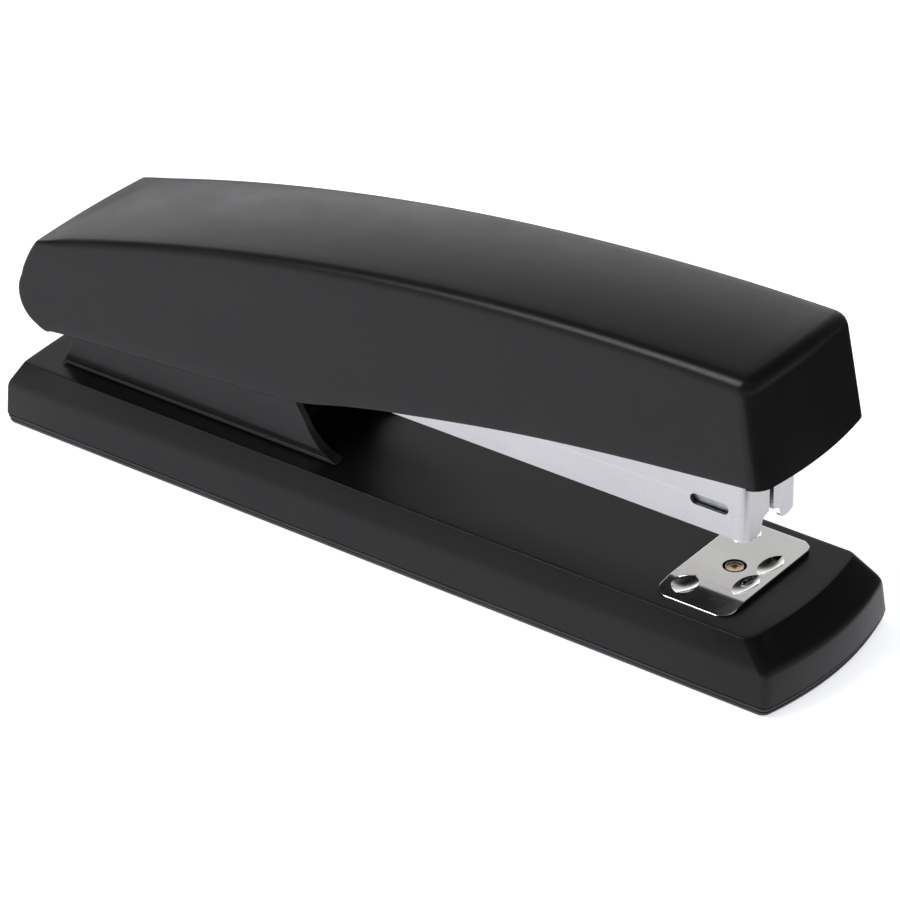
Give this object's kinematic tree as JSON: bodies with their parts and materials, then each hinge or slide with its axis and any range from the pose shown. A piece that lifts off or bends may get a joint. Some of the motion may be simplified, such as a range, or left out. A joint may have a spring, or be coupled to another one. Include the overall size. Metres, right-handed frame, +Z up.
{
  "type": "stapler",
  "caption": "Full-strip desk stapler with a black handle cover over a steel magazine, sprung at the rear hinge, on a flat base with a turning clinching anvil.",
  "frame": {"origin": "on the desk, under the middle of the base", "axes": "+X from the hinge to the nose, +Y to the stapler's left, +Z up"},
  "size_m": [0.19, 0.0426, 0.0683],
  "materials": {
    "black_plastic": "satin black moulded plastic, fine matt texture",
    "black_enamel": "satin black enamel on pressed steel",
    "rubber": "matt black rubber",
    "nickel": "satin nickel-plated steel",
    "chrome": "bright chrome plate",
    "brass": "dull brass",
    "spring_steel": "oiled spring steel",
    "zinc_plate": "dull zinc-plated steel",
    "staple_wire": "galvanised staple wire"
  },
  "bodies": {
    "base": {"base_shell": "black_plastic", "base_plate": "zinc_plate", "foot_pad": "rubber", "hinge_bracket": "black_enamel", "bracket_rivet_1": "nickel", "bracket_rivet_2": "nickel", "bracket_rivet_3": "nickel", "bracket_rivet_4": "nickel", "hinge_pin": "nickel", "pin_clip": "spring_steel", "anvil_spring": "spring_steel"},
    "anvil_button": {"anvil_button": "chrome"},
    "anvil": {"anvil_plate": "chrome", "anvil_rivet": "brass"},
    "saddle": {"latch_saddle": "zinc_plate", "return_spring": "spring_steel"},
    "magazine": {"magazine_channel": "nickel", "staple_rail": "zinc_plate", "staple_strip": "staple_wire", "spring_seat": "nickel", "seat_rivet": "nickel", "guide_rod": "nickel", "pusher_spring": "spring_steel"},
    "pusher": {"pusher": "nickel"},
    "handle_spring": {"handle_spring": "spring_steel"},
    "handle": {"handle_cover": "black_plastic", "handle_frame": "zinc_plate", "driver_blade": "spring_steel", "driver_rivet_1": "nickel", "driver_rivet_2": "nickel"}
  },
  "joints": [
    {"name": "tacking_swing", "type": "hinge", "parent": "base", "child": "saddle", "pos_m": [-0.0845, 0, 0.0306], "axis": [0, -1, 0], "range_deg": [0, 100]},
    {"name": "magazine_press", "type": "hinge", "parent": "saddle", "child": "magazine", "pos_m": [-0.0845, 0, 0.0306], "axis": [0, -1, 0], "range_deg": [-3.5, 0], "stiffness_Nm_per_rad": 20, "springref_deg": 2.86, "deforming": ["return_spring"]},
    {"name": "handle_open", "type": "hinge", "parent": "magazine", "child": "handle_spring", "pos_m": [-0.0845, 0, 0.0306], "axis": [0, -1, 0], "range_deg": [0, 60]},
    {"name": "handle_press", "type": "hinge", "parent": "handle_spring", "child": "handle", "pos_m": [-0.0845, 0, 0.0306], "axis": [0, -1, 0], "range_deg": [-3.2, 0], "stiffness_Nm_per_rad": 12, "springref_deg": 2.29},
    {"name": "pusher_slide", "type": "slide", "parent": "magazine", "child": "pusher", "axis": [-1, 0, 0], "range_m": [0, 0.055], "stiffness_N_per_m": 55, "springref_m": -0.06, "deforming": ["pusher_spring"]},
    {"name": "anvil_lift", "type": "slide", "parent": "base", "child": "anvil_button", "axis": [0, 0, 1], "range_m": [0, 0.001], "stiffness_N_per_m": 600, "springref_m": -0.006, "deforming": ["anvil_spring"]},
    {"name": "anvil_turn", "type": "hinge", "parent": "anvil_button", "child": "anvil", "pos_m": [0.0709, 0, 0.01437], "axis": [0, 0, 1], "range_deg": [0, 180]}
  ]
}
